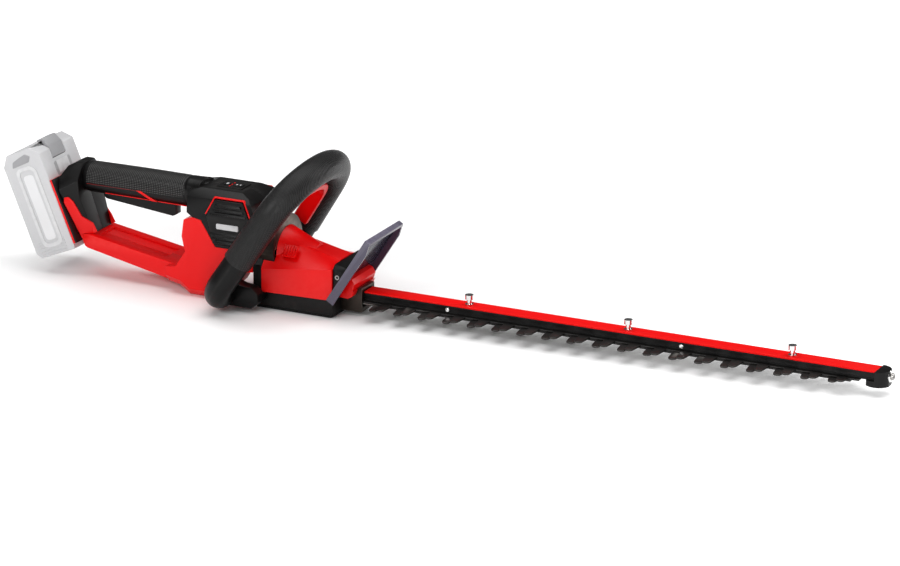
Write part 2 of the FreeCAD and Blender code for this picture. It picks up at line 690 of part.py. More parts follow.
def housing_half(side):
    """Black housing: the upright behind the hand, the grip core and the hood over the vents."""
    low_x, low_z = dock_point(-34, -5.3)
    top_x, top_z = dock_point(36, -5.3)
    rear = [(low_x, low_z + 2.5), (top_x, top_z), (-301.0, 125.5), (-294.0, 129.0), (-284.0, 129.0),
            (-282.0, 94.0), (-267.5, 50.4), (-281.0, 50.4)]
    upright = side_profile(rear, -dock_half + 3, dock_half - 3)
    roof = [(-dock_half, 40.0), (-dock_half, 98.0), (-24.0, 116.0), (-13.0, 130.0), (13.0, 130.0), (24.0, 116.0),
            (dock_half, 98.0), (dock_half, 40.0)]
    upright = upright.common(cross_profile(roof, -340.0, -250.0))
    taper = [upright_flank(way, 0.0, 40.0) for way in (-1, 1)]
    upright = upright.cut(Part.makeCompound(taper))
    core = rod(grip_half_height - 3.0, grip_front_x - grip_rear_x + 6, vec(grip_rear_x - 1, 0, grip_z), forward)
    hood_side = [(-body_half, 63.4), (-body_half, 96.0), (-33.5, 117.0), (-22.0, 125.5), (22.0, 125.5),
                 (33.5, 117.0), (body_half, 96.0), (body_half, 63.4)]
    hood = cross_profile(hood_side, -140.0, -53.0)
    hood_outline = [(-100.0, 63.4), (-53.0, 63.4), (-53.0, 108.0), (-56.0, 115.5), (-62.0, 121.0), (-73.0, 125.4),
                    (-124.0, 125.6), (hood_rear_x, 122.0), (-136.5, 99.0), (-129.0, 94.4), (-117.8, 92.4)]
    hood = hood.common(side_profile(hood_outline, -60, 60))
    hollow = side_profile([(-95.0, 60.0), (-57.0, 60.0), (-57.0, 106.0), (-64.0, 117.0), (-74.0, 121.6),
                           (-122.0, 121.6), (-128.0, 104.0), (-110.0, 88.0)], -31.0, 31.0)
    inside = [(-31.0, 50), (-31.0, 108.0), (-17.0, 121.6), (17.0, 121.6), (31.0, 108.0), (31.0, 50)]
    hood = hood.cut(hollow.common(cross_profile(inside, -140.0, -50.0)))
    whole = fuse_all([upright, core, hood])
    cuts = [rod(grip_half_height - 6.0, 140.0, vec(grip_rear_x + 8, 0, grip_z), forward)]
    cuts.append(box(-262.0, -166.0, -6.3, 6.3, 90.0, 110.0))
    cuts.append(rod(28.3, 10, vec(-57.0, 0, swivel_z), forward))
    for way in (-1, 1):
        y0, y1 = sorted((way * 34.0, way * 60.0))
        cuts.append(side_profile(panel_outline(0.4), y0, y1))
    cuts.append(box(-112.5, -79.5, -11.5, 11.5, 123.0, 130.0))
    cuts.append(box(-109.0, -83.5, -5.0, 5.0, 120.0, 124.0))
    return half_of(whole.cut(Part.makeCompound(cuts)), side)


def panel_outline(grow):
    """Hexagon of a vent panel, grown by a gap."""
    points = [(-111.0, 97.0), (-100.0, 118.0), (-66.0, 118.0), (-55.5, 97.0), (-62.0, 67.0), (-103.0, 67.0)]
    middle_x = -84.0
    middle_z = 92.0
    share = 1.0 + grow / 25.0
    return [(middle_x + (x - middle_x) * share, middle_z + (z - middle_z) * share) for x, z in points]


def vent_panel(side):
    """Hexagonal panel with air slots above and below a plain field."""
    y0, y1 = sorted((side * 34.4, side * 40.0))
    panel = side_profile(panel_outline(0.0), y0, y1)
    lean = [(38.6, 97.0), (38.6, 60.0), (60.0, 60.0), (60.0, 130.0), (33.8, 130.0), (36.4, 118.0)]
    trim = cross_profile([(side * y, z) for y, z in lean], -130, -40)
    panel = panel.cut(trim)
    slots = []
    for number in range(3):
        slots.append(box(-100.0, -67.0, min(y0, y1) - 1, max(y0, y1) + 1, 102.5 + 4.6 * number, 104.5 + 4.6 * number))
        slots.append(box(-99.0, -66.0, min(y0, y1) - 1, max(y0, y1) + 1, 70.0 + 4.2 * number, 72.0 + 4.2 * number))
    return panel.cut(Part.makeCompound(slots))


def grip_sleeve():
    """Soft sleeve over the grip core, taller than wide, open below for the trigger."""
    point = vec(grip_rear_x + 5.5, 0, grip_z)
    length = hood_rear_x - 0.5 - point.x
    sleeve = rod(grip_half_height, length, point, forward)
    sleeve = sleeve.cut(rod(grip_half_height - 2.8, length + 2, point - forward, forward))
    sleeve = sleeve.cut(box(-264.0, -164.0, -7.0, 7.0, 80, 100))
    return sleeve


def rear_spigot():
    """Tube of the rear unit that turns in the swivel ring."""
    tube = ring(spigot_radius, 19.0, 10.5, vec(-57.0, 0, swivel_z), forward)
    flange = ring(28.0, 19.0, 4.2, vec(-56.8, 0, swivel_z), forward)
    return fuse_all([tube, flange])


def dock_rim():
    """Red rim round the battery dock."""
    low = dock_point(-40, -5.0)
    top = dock_point(37, -5.0)
    outline = [low, top, dock_point(37, 0), dock_point(-40, 0)]
    rim = side_profile(outline, -dock_half, dock_half)
    opening = side_profile([dock_point(-30, -8), dock_point(28, -8), dock_point(28, 4), dock_point(-30, 4)], -29, 29)
    return rim.cut(opening)


def contact_block():
    """Insulating block in the dock with the battery contacts' slots."""
    outline = [dock_point(-29, -4.8), dock_point(27, -4.8), dock_point(27, -0.4), dock_point(-29, -0.4)]
    block = side_profile(outline, -28, 28)
    for number in range(4):
        y = -15.0 + 10.0 * number
        slot = side_profile([dock_point(-18, -3), dock_point(16, -3), dock_point(16, 1), dock_point(-18, 1)],
                            y - 1.2, y + 1.2)
        block = block.cut(slot)
    return block


def red_accents():
    """Red side strips between the dock rim and the lower bar."""
    outline = [dock_point(-38, -5.4), dock_point(8, -5.4), dock_point(13, -8), dock_point(12, -12),
               dock_point(5, -14.5), dock_point(-14, -15.5), dock_point(-26, -23), dock_point(-37, -24)]
    strip = side_profile(outline, -dock_half - 2, -16.0)
    strip = strip.common(upright_flank(-1, 0.1, 1.6))
    return both_sides(strip.cut(box(-300, -260, -bar_half - 0.1, 0, 30, 50.5)))


def control_panel():
    plate = box(-112.0, -80.0, -11.0, 11.0, 123.2, 126.2)
    return plate.cut(Part.makeCompound([rod(4.2, 6, vec(-104.0, 0, 122)), box(-95, -84, -4.2, 4.2, 122, 128)]))


def power_button():
    return rod(4.0, 4.6, vec(-104.0, 0, 122.2))


def mode_button():
    return box(-94.8, -84.2, -4.0, 4.0, 122.2, 126.8)


def control_board():
    return box(-118.0, -72.0, -19.0, 19.0, 114.0, 115.8)


def trigger():
    """Long two-finger trigger, hung from a pin at its rear end."""
    outline = [(-260.5, 99.0), (-261.5, 93.0), (-258.0, 89.5), (-172.0, 80.5), (-168.0, 82.5), (-168.0, 99.0),
               (-180.0, 101.0), (-250.0, 101.0)]
    lever = side_profile(outline, -5.8, 5.8)
    return lever.cut(rod(1.6, 20, vec(-255.0, -10, 96.5), across))


def trigger_pin():
    return rod(1.55, 12.4, vec(-255.0, -6.2, 96.5), across)


def trigger_spring():
    return ring(2.6, 1.8, 10.7, vec(-200.0, 0, 101.3))


def micro_switch():
    return box(-232.0, -212.0, -5.0, 5.0, 109.0, 119.0)


def grip_trims():
    """Thin red inlays along the grip's sides."""
    strips = [side_profile([(-276.0, 109.4), (-226.0, 109.4), (-216.0, 101.0), (-212.0, 101.0), (-223.0, 111.0),
                            (-276.0, 111.0)], -grip_half_width, -grip_half_width + 4)]
    sleeve = rod(grip_half_height + 0.5, 200, vec(-300, 0, grip_z), forward)
    inner = rod(grip_half_height + 0.05, 200, vec(-300, 0, grip_z), forward)
    return both_sides(strips[0].common(sleeve.cut(inner)))


def side_badges():
    """Plain raised plates in the middle of the vent panels."""
    return both_sides(box(-98.0, -68.0, -39.9, -38.7, 84.0, 93.0))


def battery_shape(grow):
    """Side outline of the battery pack, with a stepped crown."""
    low = battery_low + grow
    high = battery_high - grow
    near = 0.6 + grow
    far = battery_thick - grow
    points = [(low, near), (low, far - 6), (low + 6, far), (high - 14, far), (high - 2, far - 9), (high, 12.0),
              (high - 10, near)]
    return [dock_point(along, out) for along, out in points]


def battery_case():
    outer = side_profile(battery_shape(0.0), -battery_half, battery_half)
    inner = side_profile(battery_shape(3.0), -battery_half + 3, battery_half - 3)
    latch = side_profile([dock_point(58, -2), dock_point(90, -2), dock_point(90, 10.9), dock_point(58, 10.9)],
                         -14.4, 14.4)
    return outer.cut(inner).cut(latch)


def battery_latch():
    lip = battery_high + 0.6
    outline = [dock_point(58.5, 1.0), dock_point(lip - 8, 1.0), dock_point(lip + 2.2, 6.0),
               dock_point(lip + 2.2, 14.5), dock_point(lip, 14.5), dock_point(lip, 8.5), dock_point(58.5, 8.5)]
    return side_profile(outline, -14.0, 14.0)


def battery_cells():
    cells = []
    for row in range(5):
        for column in range(2):
            x, z = dock_point(-32.0 + 19.5 * row, 17.0 + 19.5 * column)
            cells.append(rod(9.0, 65.0, vec(x, -32.5, z), across))
    return Part.makeCompound(cells)


def battery_gauge():
    outline = [dock_point(40, 0.0), dock_point(54, 0.0), dock_point(54, 0.55), dock_point(40, 0.55)]
    return side_profile(outline, -12, 12)


nodes = {
    "gear_case": gear_case(),
    "bottom_cover": bottom_cover(),
    "front_cover": front_cover(),
    "nose_cover": nose_cover(),
    "swivel_ring": swivel_ring(),
    "lock_slider": lock_slider(),
    "lock_spring": lock_spring(),
    "motor_stator": motor_stator(),
    "motor_rotor": motor_rotor(),
    "motor_shaft": motor_shaft(),
    "cooling_fan": cooling_fan(),
    "drive_pinion": drive_pinion(),
    "crank_gear": crank_gear(),
    "crank_bearings": crank_bearings(),
    "gear_plate": gear_plate(),
    "blade_bracket": blade_bracket(),
    "rail": rail(),
    "rail_strip": rail_strip(),
    "rail_studs": rail_studs(),
    "rail_rivets": rail_rivets(),
    "blade_bolts": blade_bolts(),
    "upper_blade": blade(upper_blade_z, rest_offset),
    "lower_blade": blade(lower_blade_z, -rest_offset),
    "tip_guard": tip_guard(),
    "tip_washer": tip_washer(),
    "tip_screw": tip_screw(),
    "hand_guard": hand_guard(),
    "guard_holder": guard_holder(),
    "guard_screws": guard_screws(),
    "hoop_front_shell": hoop_front_shell(),
    "hoop_rear_shell": hoop_rear_shell(),
    "hoop_grip_front": hoop_grip_half(1),
    "hoop_grip_rear": hoop_grip_half(-1),
    "hoop_feet": hoop_feet(),
    "switch_bar": switch_bar(),
    "frame_right": frame_half(-1),
    "frame_left": frame_half(1),
    "housing_right": housing_half(-1),
    "housing_left": housing_half(1),
    "rear_spigot": rear_spigot(),
    "vent_panel_right": vent_panel(-1),
    "vent_panel_left": vent_panel(1),
    "side_badges": side_badges(),
    "grip_sleeve": grip_sleeve(),
    "grip_trims": grip_trims(),
    "dock_rim": dock_rim(),
    "contact_block": contact_block(),
    "red_accents": red_accents(),
    "control_panel": control_panel(),
    "power_button": power_button(),
    "mode_button": mode_button(),
    "control_board": control_board(),
    "trigger": trigger(),
    "trigger_pin": trigger_pin(),
    "trigger_spring": trigger_spring(),
    "micro_switch": micro_switch(),
    "battery_case": battery_case(),
    "battery_latch": battery_latch(),
    "battery_cells": battery_cells(),
    "battery_gauge": battery_gauge(),
}

os.makedirs("parts", exist_ok=True)
for name, shape in nodes.items():
    shape.exportStep("parts/" + name + ".step")
    print(name, len(shape.Solids), "solid(s)", round(shape.Volume), "mm3", "valid" if shape.isValid() else "NOT VALID")
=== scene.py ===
import bpy, bmesh, json, math
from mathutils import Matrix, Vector


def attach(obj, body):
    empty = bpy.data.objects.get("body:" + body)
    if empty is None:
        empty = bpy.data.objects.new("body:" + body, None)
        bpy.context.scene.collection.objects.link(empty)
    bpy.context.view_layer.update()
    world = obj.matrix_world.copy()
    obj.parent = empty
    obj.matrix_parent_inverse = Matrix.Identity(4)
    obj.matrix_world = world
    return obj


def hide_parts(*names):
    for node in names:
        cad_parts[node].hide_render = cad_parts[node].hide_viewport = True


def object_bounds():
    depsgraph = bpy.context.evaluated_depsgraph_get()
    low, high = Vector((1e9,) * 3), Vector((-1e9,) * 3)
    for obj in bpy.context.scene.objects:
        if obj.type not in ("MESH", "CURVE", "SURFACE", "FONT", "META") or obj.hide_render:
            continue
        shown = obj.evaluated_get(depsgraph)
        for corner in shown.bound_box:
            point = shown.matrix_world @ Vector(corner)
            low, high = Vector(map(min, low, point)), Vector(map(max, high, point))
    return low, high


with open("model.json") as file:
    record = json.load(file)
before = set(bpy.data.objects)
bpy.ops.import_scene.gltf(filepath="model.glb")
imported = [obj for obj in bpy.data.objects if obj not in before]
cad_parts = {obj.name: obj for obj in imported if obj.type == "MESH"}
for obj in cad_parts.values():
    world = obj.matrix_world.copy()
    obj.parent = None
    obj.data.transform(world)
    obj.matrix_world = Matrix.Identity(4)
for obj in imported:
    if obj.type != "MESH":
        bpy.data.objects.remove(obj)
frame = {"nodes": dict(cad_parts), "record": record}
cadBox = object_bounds()
nodes = frame["nodes"]
mm = 0.001
print("frame loaded", len(nodes), "nodes")

# camera and light: a long lens from the right front, a little above
view = {"lens": 180.0, "azimuth": 26.0, "height": 18.5, "distance": 5.0, "aim": (0.1537, 0.0403, 0.0345)}
studio = {"sky": 0.12, "floor": 9.0, "near": 0.25, "far": 1.6, "glow": 0.9, "drop": 0.0005}
lamps = {
    "topLight": {"place": (0.1, 0.2, 2.4), "aim": (0.1, 0, 0), "size": (3.6, 2.6), "power": 58.0},
    "keyLight": {"place": (-0.6, -2.0, 1.3), "aim": (0.0, 0, 0.05), "size": (1.6, 0.7), "power": 20.0},
    "rimLight": {"place": (1.6, 1.2, 1.0), "aim": (0.0, 0, 0.1), "size": (0.5, 1.4), "power": 12.0},
    "stripLight": {"place": (0.9, -1.6, 0.55), "aim": (0.0, 0, 0.1), "size": (0.16, 1.1), "power": 7.0},
}


def direction(azimuth, height):
    a, h = math.radians(azimuth), math.radians(height)
    return Vector((math.sin(a) * math.cos(h), -math.cos(a) * math.cos(h), math.sin(h)))


def addCamera():
    data = bpy.data.cameras.new("viewCamera")
    data.lens = view["lens"]
    data.clip_end = 50.0
    camera = bpy.data.objects.new("viewCamera", data)
    back = direction(view["azimuth"], view["height"])
    camera.location = Vector(view["aim"]) + back * view["distance"]
    camera.rotation_euler = back.to_track_quat("Z", "Y").to_euler()
    bpy.context.scene.collection.objects.link(camera)
    bpy.context.scene.camera = camera


def addLight(name, place, aim, size, power):
    data = bpy.data.lights.new(name, "AREA")
    data.shape = "RECTANGLE"
    data.size, data.size_y = size
    data.energy = power
    light = bpy.data.objects.new(name, data)
    light.location = place
    light.rotation_euler = (Vector(place) - Vector(aim)).to_track_quat("Z", "Y").to_euler()
    bpy.context.scene.collection.objects.link(light)


def addStudio():
    for name, lamp in lamps.items():
        addLight(name, lamp["place"], lamp["aim"], lamp["size"], lamp["power"])
    world = bpy.data.worlds.new("paleRoom")
    world.use_nodes = True
    tree = world.node_tree
    seen = tree.nodes.new("ShaderNodeLightPath")
    strength = tree.nodes.new("ShaderNodeMapRange")  # white to the lens, dimmer as light
    strength.inputs["To Min"].default_value = studio["sky"]
    strength.inputs["To Max"].default_value = 1.0
    tree.links.new(seen.outputs["Is Camera Ray"], strength.inputs["Value"])
    tree.links.new(strength.outputs["Result"], tree.nodes["Background"].inputs["Strength"])
    tree.nodes["Background"].inputs["Color"].default_value = (1.0, 1.0, 1.0, 1.0)
    bpy.context.scene.world = world
    bpy.context.scene.view_settings.view_transform = "Standard"
    bpy.context.scene.view_settings.look = "Medium High Contrast"


def addFloor():
    half = studio["floor"]
    mesh = bpy.data.meshes.new("floor")
    corners = [(-half, -half, 0), (half, -half, 0), (half, half, 0), (-half, half, 0)]
    mesh.from_pydata(corners, [], [(0, 1, 2, 3)])
    floor = bpy.data.objects.new("floor", mesh)
    floor.location.z = cadBox[0][2] - studio["drop"]
    bpy.context.scene.collection.objects.link(floor)
    material = bpy.data.materials.new("paleFloor")
    material.use_nodes = True
    shader = material.node_tree.nodes["Principled BSDF"]
    shader.inputs["Base Color"].default_value = (0.9, 0.9, 0.9, 1)
    shader.inputs["Roughness"].default_value = 0.9
    tree = material.node_tree
    place = tree.nodes.new("ShaderNodeTexCoord")
    reach = tree.nodes.new("ShaderNodeVectorMath")
    reach.operation = "LENGTH"
    fade = tree.nodes.new("ShaderNodeMapRange")  # the floor turns to white light away from the tool
    fade.inputs["From Min"].default_value = studio["near"]
    fade.inputs["From Max"].default_value = studio["far"]
    fade.inputs["To Max"].default_value = studio["glow"]
    tree.links.new(place.outputs["Object"], reach.inputs[0])
    tree.links.new(reach.outputs["Value"], fade.inputs["Value"])
    tree.links.new(fade.outputs["Result"], shader.inputs["Emission Strength"])
    shader.inputs["Emission Color"].default_value = (1, 1, 1, 1)
    mesh.materials.append(material)


addCamera()
addStudio()
addFloor()
print("camera, lights and floor ready")


# shared effects
effectShape = {"fineScale": 1400.0, "fineDetail": 3.0, "slowScale": 22.0, "slowDetail": 4.0,
               "crestFrom": 0.53, "crestGain": 9.0, "rubAndHighlightScale": 180.0, "dustScale": 60.0, "dustDetail": 6.0,
               "dustColour": (0.55, 0.52, 0.48)}


def newGroup(name, inputs, outputs):
    group = bpy.data.node_groups.new(name, "ShaderNodeTree")
    for label, kind, value in inputs:
        socket = group.interface.new_socket(name=label, in_out="INPUT", socket_type=kind)
        socket.default_value = value
    for label, kind in outputs:
        group.interface.new_socket(name=label, in_out="OUTPUT", socket_type=kind)
    return group, group.nodes.new("NodeGroupInput"), group.nodes.new("NodeGroupOutput")


def mathNode(tree, operation, first, second=None, clamp=False):
    node = tree.nodes.new("ShaderNodeMath")
    node.operation = operation
    node.use_clamp = clamp
    for place, value in enumerate((first, second)):
        if value is None:
            continue
        if isinstance(value, (int, float)):
            node.inputs[place].default_value = value
        else:
            tree.links.new(value, node.inputs[place])
    return node.outputs[0]


def grainGroup():
    # fine moulded texture: a height and a slow mottling mask
    number = "NodeSocketFloat"
    group, source, sink = newGroup("mouldGrain", [("Scale", number, 1.0), ("Depth", number, 1.0)],
                                   [("Height", number), ("Mottle", number)])
    place = group.nodes.new("ShaderNodeTexCoord")
    fine = group.nodes.new("ShaderNodeTexNoise")
    fine.inputs["Detail"].default_value = effectShape["fineDetail"]
    slow = group.nodes.new("ShaderNodeTexNoise")
    slow.inputs["Scale"].default_value = effectShape["slowScale"]
    slow.inputs["Detail"].default_value = effectShape["slowDetail"]
    group.links.new(place.outputs["Object"], fine.inputs["Vector"])
    group.links.new(place.outputs["Object"], slow.inputs["Vector"])
    scale = mathNode(group, "MULTIPLY", source.outputs["Scale"], effectShape["fineScale"])
    group.links.new(scale, fine.inputs["Scale"])
    height = mathNode(group, "MULTIPLY", fine.outputs["Fac"], source.outputs["Depth"])
    group.links.new(height, sink.inputs["Height"])
    group.links.new(slow.outputs["Fac"], sink.inputs["Mottle"])
    return group


def edgeGroup():
    # bright mask on convex edges, broken up so that it reads as rubbing; it also paints a highlight on those
    # edges
    number = "NodeSocketFloat"
    group, source, sink = newGroup("edgeRubAndHighlight", [("Amount", number, 1.0)], [("Mask", number)])
    shape = group.nodes.new("ShaderNodeNewGeometry")
    place = group.nodes.new("ShaderNodeTexCoord")
    breakUp = group.nodes.new("ShaderNodeTexNoise")
    breakUp.inputs["Scale"].default_value = effectShape["rubAndHighlightScale"]
    group.links.new(place.outputs["Object"], breakUp.inputs["Vector"])
    crest = mathNode(group, "SUBTRACT", shape.outputs["Pointiness"], effectShape["crestFrom"])
    sharp = mathNode(group, "MULTIPLY", crest, effectShape["crestGain"], True)
    rubbedAndHighlit = mathNode(group, "MULTIPLY", sharp, breakUp.outputs["Fac"])
    group.links.new(mathNode(group, "MULTIPLY", rubbedAndHighlit, source.outputs["Amount"], True), sink.inputs["Mask"])
    return group


def dustGroup():
    # pale dust that settles on faces that look up
    number = "NodeSocketFloat"
    group, source, sink = newGroup("settledDust", [("Amount", number, 0.1)], [("Mask", number)])
    shape = group.nodes.new("ShaderNodeNewGeometry")
    split = group.nodes.new("ShaderNodeSeparateXYZ")
    place = group.nodes.new("ShaderNodeTexCoord")
    spots = group.nodes.new("ShaderNodeTexNoise")
    spots.inputs["Scale"].default_value = effectShape["dustScale"]
    spots.inputs["Detail"].default_value = effectShape["dustDetail"]
    group.links.new(place.outputs["Object"], spots.inputs["Vector"])
    group.links.new(shape.outputs["Normal"], split.inputs[0])
    facing = mathNode(group, "MAXIMUM", split.outputs[2], 0.0)
    upward = mathNode(group, "MULTIPLY", facing, spots.outputs["Fac"])
    group.links.new(mathNode(group, "MULTIPLY", upward, source.outputs["Amount"], True), sink.inputs["Mask"])
    return group


def knurlGroup():
    # rows of small raised diamonds for soft grips
    number = "NodeSocketFloat"
    group, source, sink = newGroup("gripKnurl", [("Pitch", number, 0.0022)], [("Height", number)])
    place = group.nodes.new("ShaderNodeTexCoord")
    split = group.nodes.new("ShaderNodeSeparateXYZ")
    group.links.new(place.outputs["Object"], split.inputs[0])
    turn = mathNode(group, "DIVIDE", 2 * math.pi, source.outputs["Pitch"])
    along = mathNode(group, "MULTIPLY", split.outputs[0], turn)
    cross = mathNode(group, "MULTIPLY", mathNode(group, "ADD", split.outputs[2], split.outputs[1]), turn)
    first = mathNode(group, "SINE", mathNode(group, "ADD", along, cross))
    second = mathNode(group, "SINE", mathNode(group, "SUBTRACT", along, cross))
    both = mathNode(group, "MULTIPLY", first, second)
    group.links.new(mathNode(group, "MAXIMUM", both, 0.0), sink.inputs["Height"])
    return group


effects = {"grain": grainGroup(), "edge": edgeGroup(), "dust": dustGroup(), "knurl": knurlGroup()}


def placeEffect(tree, name, **values):
    node = tree.nodes.new("ShaderNodeGroup")
    node.node_tree = effects[name]
    for label, value in values.items():
        node.inputs[label].default_value = value
    return node


def mixColour(tree, factor, first, second):
    node = tree.nodes.new("ShaderNodeMix")
    node.data_type = "RGBA"
    tree.links.new(factor, node.inputs[0])
    for place, value in ((6, first), (7, second)):
        if isinstance(value, tuple):
            node.inputs[place].default_value = (*value, 1.0)
        else:
            tree.links.new(value, node.inputs[place])
    return node.outputs[2]


def makeMaterial(name, recipe):
    material = bpy.data.materials.new(name)
    material.use_nodes = True
    tree = material.node_tree
    shader = tree.nodes["Principled BSDF"]
    grain = placeEffect(tree, "grain", Scale=recipe.get("grainScale", 1.0), Depth=1.0)
    rubAndHighlight = placeEffect(tree, "edge", Amount=recipe.get("rubAndHighlight", 0.3))
    dust = placeEffect(tree, "dust", Amount=recipe.get("dust", 0.05))
    colour = mixColour(tree, grain.outputs["Mottle"], recipe["colour"], recipe["shade"])
    # convex edges take a brighter colour: partly rubbed wear, partly a painted highlight
    colour = mixColour(tree, rubAndHighlight.outputs["Mask"], colour, recipe.get("rubbedAndHighlit", recipe["colour"]))
    colour = mixColour(tree, dust.outputs["Mask"], colour, effectShape["dustColour"])
    tree.links.new(colour, shader.inputs["Base Color"])
    low, high = recipe["rough"]
    span = mathNode(tree, "MULTIPLY", grain.outputs["Mottle"], high - low)
    tree.links.new(mathNode(tree, "ADD", span, low), shader.inputs["Roughness"])
    shader.inputs["Metallic"].default_value = recipe.get("metal", 0.0)
    shader.inputs["Coat Weight"].default_value = recipe.get("coat", 0.0)
    shader.inputs["Coat Roughness"].default_value = 0.15
    shader.inputs["Specular IOR Level"].default_value = recipe.get("specular", 0.5)
    height = grain.outputs["Height"]
    if recipe.get("knurl"):
        knurl = placeEffect(tree, "knurl", Pitch=recipe["knurl"])
        height = mathNode(tree, "ADD", mathNode(tree, "MULTIPLY", height, 0.2), knurl.outputs["Height"])
        # the raised knurl tips get a lighter colour: a painted highlight
        colour = mixColour(tree, knurl.outputs["Height"], colour, recipe["knurlTipHighlight"])
        tree.links.new(colour, shader.inputs["Base Color"])
    bump = tree.nodes.new("ShaderNodeBump")
    bump.inputs["Strength"].default_value = recipe.get("bump", 0.25)
    bump.inputs["Distance"].default_value = recipe.get("depth", 0.00015)
    tree.links.new(height, bump.inputs["Height"])
    tree.links.new(bump.outputs["Normal"], shader.inputs["Normal"])
    if "alpha" in recipe:
        shader.inputs["Alpha"].default_value = recipe["alpha"]
    return material


# in each recipe the edge mask amount and edge colour give rubbed wear and a painted highlight on convex edges
recipes = {
    "red_plastic": {"colour": (0.76, 0.003, 0.004), "shade": (0.66, 0.002, 0.003), "rough": (0.26, 0.38),
                    "bump": 0.1, "rubAndHighlight": 0.35, "rubbedAndHighlit": (0.85, 0.08, 0.07), "dust": 0.0, "specular": 0.35},
    "dark_red": {"colour": (0.16, 0.003, 0.004), "shade": (0.11, 0.002, 0.003), "rough": (0.3, 0.45),
                 "dust": 0.0},
    "black_plastic": {"colour": (0.0035, 0.0034, 0.0036), "shade": (0.006, 0.0056, 0.0058),
                      "rough": (0.28, 0.40), "bump": 0.2, "specular": 0.30, "rubAndHighlight": 0.5,
                      "rubbedAndHighlit": (0.07, 0.066, 0.062), "dust": 0.004},
    "grip_rubber": {"colour": (0.003, 0.003, 0.0032), "shade": (0.006, 0.0055, 0.006), "rough": (0.30, 0.42),
                    "specular": 0.42, "dust": 0.0, "knurl": 0.0026, "knurlTipHighlight": (0.045, 0.044, 0.043),
                    "bump": 0.8, "depth": 0.0005, "rubAndHighlight": 0.2, "rubbedAndHighlit": (0.06, 0.06, 0.06)},
    "sleeve_rubber": {"colour": (0.003, 0.003, 0.0032), "shade": (0.005, 0.0048, 0.005),
                      "rough": (0.30, 0.42), "specular": 0.32, "dust": 0.0, "knurl": 0.0044,
                      "knurlTipHighlight": (0.13, 0.128, 0.125), "bump": 0.8, "depth": 0.0005, "rubAndHighlight": 0.2,
                      "rubbedAndHighlit": (0.06, 0.06, 0.06)},
    "bronze_metal": {"colour": (0.075, 0.060, 0.050), "shade": (0.045, 0.037, 0.032), "rough": (0.28, 0.45),
                     "metal": 0.7, "bump": 0.3, "rubAndHighlight": 0.8, "rubbedAndHighlit": (0.30, 0.26, 0.22)},
    "black_metal": {"colour": (0.002, 0.002, 0.0022), "shade": (0.004, 0.0038, 0.004), "rough": (0.32, 0.46),
                    "bump": 0.1, "rubAndHighlight": 0.4, "rubbedAndHighlit": (0.05, 0.048, 0.046), "specular": 0.22, "dust": 0.0},
    "red_metal": {"colour": (0.78, 0.002, 0.003), "shade": (0.70, 0.002, 0.002), "rough": (0.4, 0.55),
                  "bump": 0.06, "rubAndHighlight": 0.3, "rubbedAndHighlit": (0.8, 0.06, 0.05), "specular": 0.16, "dust": 0.0},
    "blade_steel": {"colour": (0.016, 0.016, 0.017), "shade": (0.045, 0.042, 0.040), "rough": (0.25, 0.48),
                    "metal": 0.55, "bump": 0.25, "rubAndHighlight": 1.2, "rubbedAndHighlit": (0.5, 0.48, 0.45)},
    "ground_steel": {"colour": (0.16, 0.155, 0.15), "shade": (0.06, 0.055, 0.05), "rough": (0.18, 0.3),
                     "metal": 0.9, "bump": 0.1},
    "chrome": {"colour": (0.80, 0.80, 0.80), "shade": (0.66, 0.65, 0.64), "rough": (0.08, 0.20), "metal": 1.0,
               "bump": 0.05, "rubAndHighlight": 0.2},
    "steel": {"colour": (0.45, 0.44, 0.43), "shade": (0.32, 0.31, 0.30), "rough": (0.22, 0.4), "metal": 1.0,
              "bump": 0.12},
    "aluminium": {"colour": (0.62, 0.62, 0.63), "shade": (0.5, 0.5, 0.5), "rough": (0.35, 0.5), "metal": 1.0,
                  "bump": 0.4},
    "smoke_plastic": {"colour": (0.085, 0.075, 0.115), "shade": (0.060, 0.055, 0.085), "rough": (0.12, 0.25),
                      "bump": 0.06, "rubAndHighlight": 0.6, "rubbedAndHighlit": (0.3, 0.28, 0.36), "coat": 0.5},
    "grey_plastic": {"colour": (0.56, 0.56, 0.57), "shade": (0.48, 0.48, 0.49), "rough": (0.35, 0.5),
                     "bump": 0.3, "rubAndHighlight": 0.6, "rubbedAndHighlit": (0.85, 0.85, 0.85)},
    # a darker copy of grey_plastic; on the battery's stepped panel and facets it is painted shade
    "shade_grey": {"colour": (0.34, 0.34, 0.35), "shade": (0.27, 0.27, 0.28), "rough": (0.35, 0.5),
                   "bump": 0.3, "rubAndHighlight": 0.8, "rubbedAndHighlit": (0.75, 0.75, 0.75)},
    # a darker copy of smoke_plastic: painted shade for the guard's inner face
    "smoke_inner": {"colour": (0.030, 0.036, 0.060), "shade": (0.020, 0.025, 0.042), "rough": (0.18, 0.3),
                    "bump": 0.05, "specular": 0.3, "dust": 0.0},
    "pale_label": {"colour": (0.72, 0.72, 0.73), "shade": (0.62, 0.62, 0.63), "rough": (0.25, 0.4),
                   "bump": 0.05},
    "board": {"colour": (0.01, 0.10, 0.03), "shade": (0.01, 0.07, 0.02), "rough": (0.3, 0.5)},
    "cell_wrap": {"colour": (0.05, 0.14, 0.36), "shade": (0.04, 0.10, 0.28), "rough": (0.2, 0.35)},
}
finishes = {name: makeMaterial(name, recipe) for name, recipe in recipes.items()}
slots = {row["node"]: row["material_slot"] for row in frame["record"]["subparts"]}
bodyOf = {}
for bodyName, members in frame["record"]["behaviour"]["bodies"].items():
    for member in members:
        bodyOf[member] = bodyName
for name, obj in nodes.items():
    obj.data.materials.clear()
    obj.data.materials.append(finishes[slots[name]])
print("materials ready", len(finishes))


